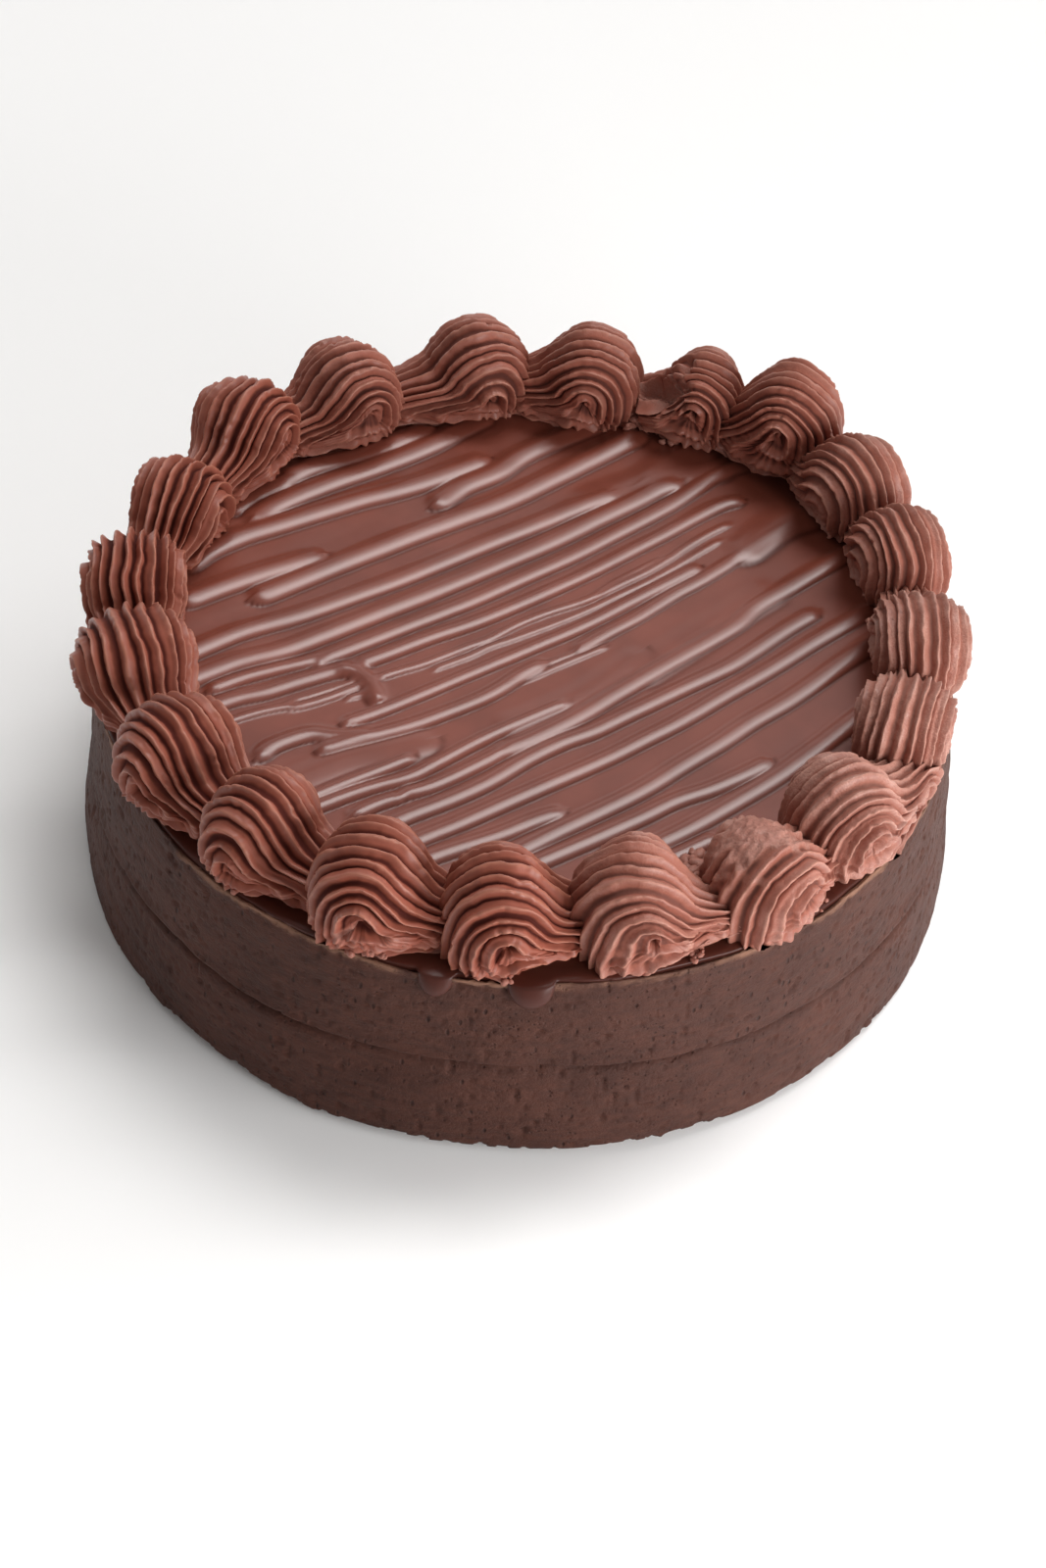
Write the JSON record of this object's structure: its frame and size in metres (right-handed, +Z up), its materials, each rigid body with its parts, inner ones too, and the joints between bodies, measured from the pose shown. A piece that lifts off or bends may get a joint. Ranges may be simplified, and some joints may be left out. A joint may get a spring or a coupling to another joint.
{
  "type": "brownie cake",
  "caption": "Round two-layer brownie cake with a spread chocolate coat, a poured ganache top with drizzle ridges and a ring of piped shells.",
  "frame": {"origin": "middle of the cake's flat base, on the surface it rests on", "axes": "+Z up through the cake; the cake is round, with the ganache drips on its -Y side"},
  "size_m": [0.2079, 0.2104, 0.077],
  "materials": {
    "chocolate_coat": "dark satin chocolate with fine pits",
    "ganache": "glossy poured chocolate",
    "piped_frosting": "satin piped chocolate frosting"
  },
  "bodies": {
    "root": {"lower_layer": "chocolate_coat", "upper_layer": "chocolate_coat", "ganache_top": "ganache", "shell_01": "piped_frosting", "shell_02": "piped_frosting", "shell_03": "piped_frosting", "shell_04": "piped_frosting", "shell_05": "piped_frosting", "shell_06": "piped_frosting", "shell_07": "piped_frosting", "shell_08": "piped_frosting", "shell_09": "piped_frosting", "shell_10": "piped_frosting", "shell_11": "piped_frosting", "shell_12": "piped_frosting", "shell_13": "piped_frosting", "shell_14": "piped_frosting", "shell_15": "piped_frosting", "shell_16": "piped_frosting", "shell_17": "piped_frosting", "shell_18": "piped_frosting", "shell_19": "piped_frosting", "shell_20": "piped_frosting"}
  },
  "joints": []
}
